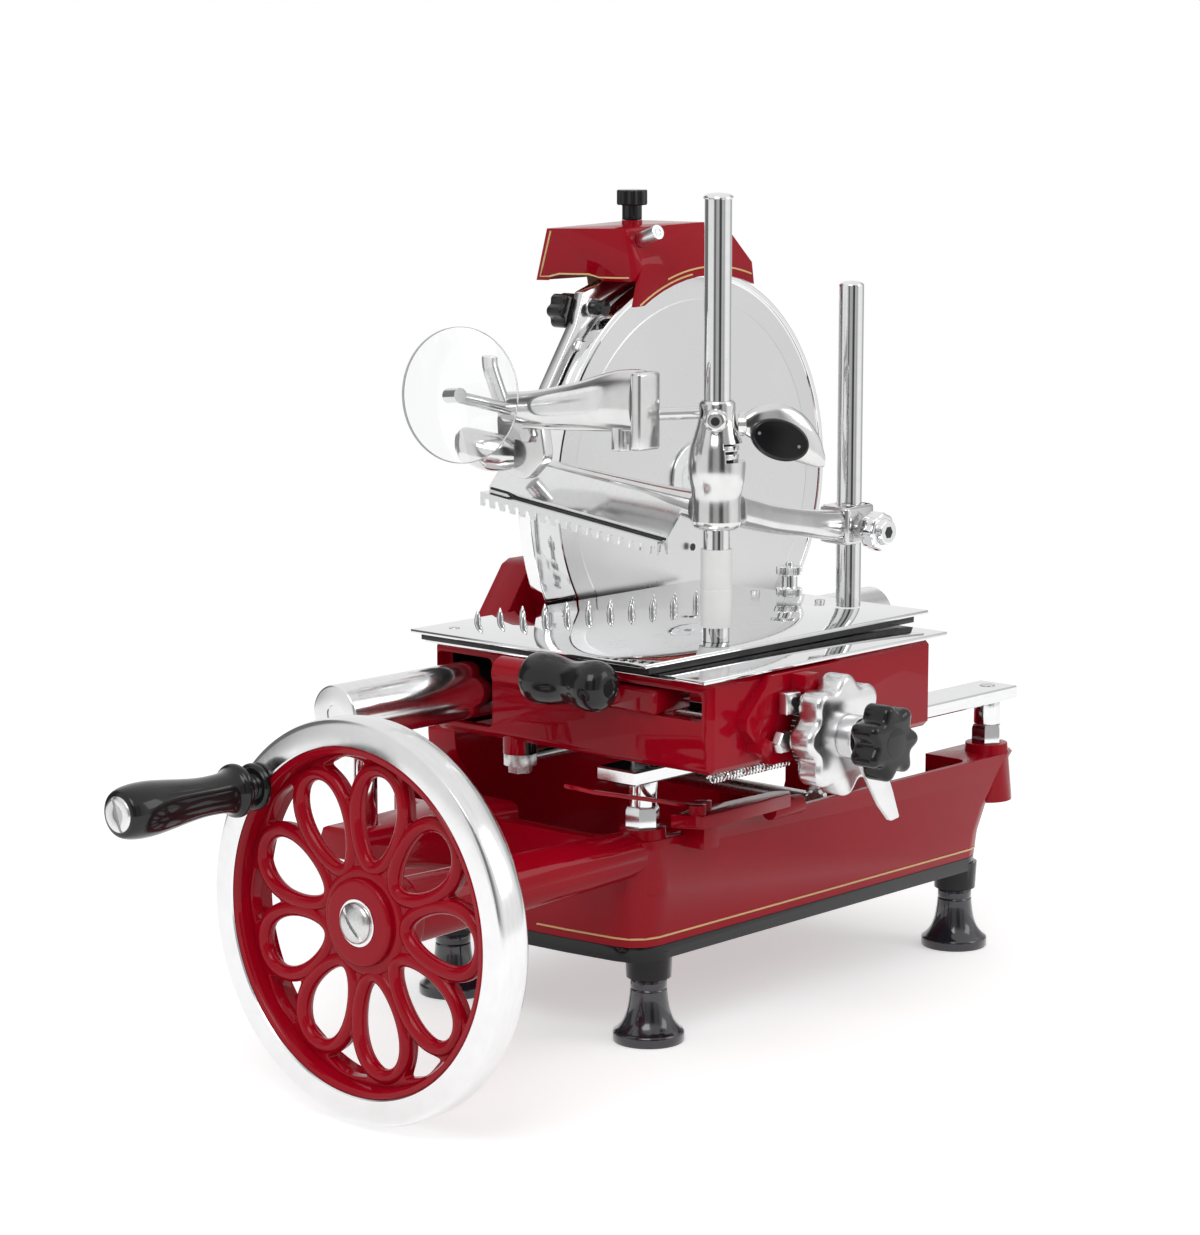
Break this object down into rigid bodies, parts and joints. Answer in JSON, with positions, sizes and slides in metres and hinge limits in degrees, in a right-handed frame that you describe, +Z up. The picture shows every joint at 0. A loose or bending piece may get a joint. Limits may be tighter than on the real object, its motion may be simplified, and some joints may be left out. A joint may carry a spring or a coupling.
{
  "type": "hand crank meat slicer",
  "caption": "Hand-cranked rotary meat slicer: spoked flywheel, round blade in a guard, sliding carriage with spiked table, toothed press on posts, sharpener hood, on four feet",
  "frame": {"origin": "middle of the slicer's outline on the floor, under its feet", "axes": "+X along the carriage's travel away from the flywheel, +Y from the operator's side to the blade's back, +Z up"},
  "size_m": [0.812, 0.4314, 0.577],
  "materials": {
    "red_enamel": "gloss",
    "black_enamel": "gloss",
    "black_handle": "gloss",
    "foot_rubber": "satin",
    "polished_steel": "polished",
    "brushed_steel": "satin",
    "chrome_plate": "polished",
    "bronze": "satin",
    "nylon": "satin",
    "abrasive": "matte",
    "clear_plastic": "clear"
  },
  "bodies": {
    "frame": {"axle_bush": "bronze", "bar_standoff_left": "polished_steel", "bar_standoff_right": "polished_steel", "base_casting": "red_enamel", "base_plate": "black_enamel", "blade_bearing": "bronze", "blade_column": "red_enamel", "blade_guard": "chrome_plate", "drive_chain": "brushed_steel", "foot_far_left": "foot_rubber", "foot_far_right": "foot_rubber", "foot_near_left": "foot_rubber", "foot_near_right": "foot_rubber", "front_bar": "polished_steel", "rail_post_left": "chrome_plate", "rail_post_right": "chrome_plate", "rear_rail": "chrome_plate", "sharpener_bracket": "chrome_plate", "sharpener_cover": "red_enamel"},
    "flywheel": {"flywheel_rim": "polished_steel", "flywheel_spider": "red_enamel", "flywheel_screw": "brushed_steel", "flywheel_axle": "brushed_steel", "drive_bevel_gear": "brushed_steel", "crank_pin": "polished_steel"},
    "crank_handle": {"crank_grip": "black_handle"},
    "cross_drive": {"cross_shaft": "brushed_steel", "cross_bevel_gear": "brushed_steel"},
    "blade_unit": {"blade": "polished_steel", "blade_hub_cap": "polished_steel", "blade_shaft": "brushed_steel"},
    "stone": {"grinding_stone": "abrasive"},
    "stone_screw": {"stone_knob": "black_handle"},
    "lift_knob": {"top_knob": "black_handle"},
    "pin": {"push_pin": "brushed_steel"},
    "carriage": {"carriage_casting": "red_enamel", "carriage_cover": "polished_steel", "rail_bush": "bronze", "feed_spring": "polished_steel", "thickness_dial": "black_enamel"},
    "hand_wheel": {"thickness_wheel": "polished_steel"},
    "feed_screw": {"feed_knob": "black_handle"},
    "index": {"index_lever": "chrome_plate"},
    "lever": {"feed_lever": "red_enamel", "lever_grip": "black_handle"},
    "rocker": {"feed_rocker": "red_enamel"},
    "rod_link": {"connecting_rod": "brushed_steel"},
    "table": {"meat_table": "polished_steel", "press_post_main": "chrome_plate", "press_post_guide": "chrome_plate", "post_sleeve": "nylon"},
    "thumb_nut": {"table_thumb_nut": "polished_steel"},
    "press": {"press_clamp": "chrome_plate", "press_arm": "chrome_plate", "tooth_plate": "polished_steel", "press_head": "chrome_plate", "guard_disc": "clear_plastic"},
    "press_handle": {"press_lever": "chrome_plate", "lever_pad": "black_handle"},
    "collar_knob": {"arm_knob": "polished_steel"}
  },
  "joints": [
    {"name": "flywheel_turn", "type": "hinge", "parent": "frame", "child": "flywheel", "pos_m": [-0.29005, -0.04575, 0.133], "axis": [1, 0, 0], "continuous": true},
    {"name": "crank_grip_spin", "type": "hinge", "parent": "flywheel", "child": "crank_handle", "pos_m": [-0.29005, 0.04104, 0.20845], "axis": [1, 0, 0], "continuous": true},
    {"name": "cross_shaft_turn", "type": "hinge", "parent": "frame", "child": "cross_drive", "pos_m": [0.18795, 0.12225, 0.133], "axis": [0, 1, 0], "continuous": true},
    {"name": "blade_turn", "type": "hinge", "parent": "frame", "child": "blade_unit", "pos_m": [0.23295, 0.12225, 0.352], "axis": [0, 1, 0], "continuous": true},
    {"name": "carriage_travel", "type": "slide", "parent": "frame", "child": "carriage", "axis": [1, 0, 0], "range_m": [0, 0.23]},
    {"name": "table_cross_travel", "type": "slide", "parent": "carriage", "child": "table", "axis": [0, 1, 0], "range_m": [-0.14, 0]},
    {"name": "thickness_setting", "type": "hinge", "parent": "carriage", "child": "hand_wheel", "pos_m": [0.04195, 0.12225, 0.221], "axis": [0, 1, 0], "range_deg": [-150, 150]},
    {"name": "feed_knob_turn", "type": "hinge", "parent": "carriage", "child": "feed_screw", "pos_m": [0.04195, 0.12225, 0.221], "axis": [0, 1, 0], "continuous": true},
    {"name": "index_lever_swing", "type": "hinge", "parent": "carriage", "child": "index", "pos_m": [0.04195, 0.12225, 0.221], "axis": [0, 1, 0], "range_deg": [-20, 20]},
    {"name": "feed_lever_pull", "type": "slide", "parent": "carriage", "child": "lever", "axis": [1, 0, 0], "range_m": [-0.012, 0]},
    {"name": "feed_rocker_swing", "type": "hinge", "parent": "frame", "child": "rocker", "pos_m": [0.01195, -0.07475, 0.1515], "axis": [0, 0, 1], "range_deg": [0, 5]},
    {"name": "connecting_rod_swing", "type": "hinge", "parent": "carriage", "child": "rod_link", "pos_m": [-0.03905, 0.04725, 0.192], "axis": [0, 0, 1], "range_deg": [-12, 8]},
    {"name": "press_height", "type": "slide", "parent": "table", "child": "press", "axis": [0, 0, 1], "range_m": [0, 0.1]},
    {"name": "press_lever_turn", "type": "hinge", "parent": "press", "child": "press_handle", "pos_m": [0.03695, -0.09645, 0.423], "axis": [0, 1, 0], "range_deg": [-15, 60]},
    {"name": "grinding_stone_spin", "type": "hinge", "parent": "frame", "child": "stone", "pos_m": [0.17095, 0.16325, 0.505], "axis": [0.4654, -0.879, 0.1034], "continuous": true},
    {"name": "stone_knob_turn", "type": "hinge", "parent": "frame", "child": "stone_screw", "pos_m": [0.12295, 0.14625, 0.482], "axis": [0, 1, 0], "continuous": true},
    {"name": "top_knob_lift", "type": "slide", "parent": "frame", "child": "lift_knob", "axis": [0, 0, 1], "range_m": [0, 0.008]},
    {"name": "push_pin_press", "type": "slide", "parent": "frame", "child": "pin", "axis": [-0.1481, -0.9382, 0.3127], "range_m": [-0.006, 0]},
    {"name": "thumb_nut_turn", "type": "hinge", "parent": "table", "child": "thumb_nut", "pos_m": [0.20905, 0.01085, 0.276], "axis": [0, 0, 1], "continuous": true},
    {"name": "collar_knob_turn", "type": "hinge", "parent": "press", "child": "collar_knob", "pos_m": [0.20105, -0.06725, 0.3325], "axis": [0, 1, 0], "continuous": true}
  ],
  "couplings": [
    {"joint": "cross_shaft_turn", "follows": "flywheel_turn", "ratio": 1},
    {"joint": "blade_turn", "follows": "flywheel_turn", "ratio": 1.5}
  ]
}
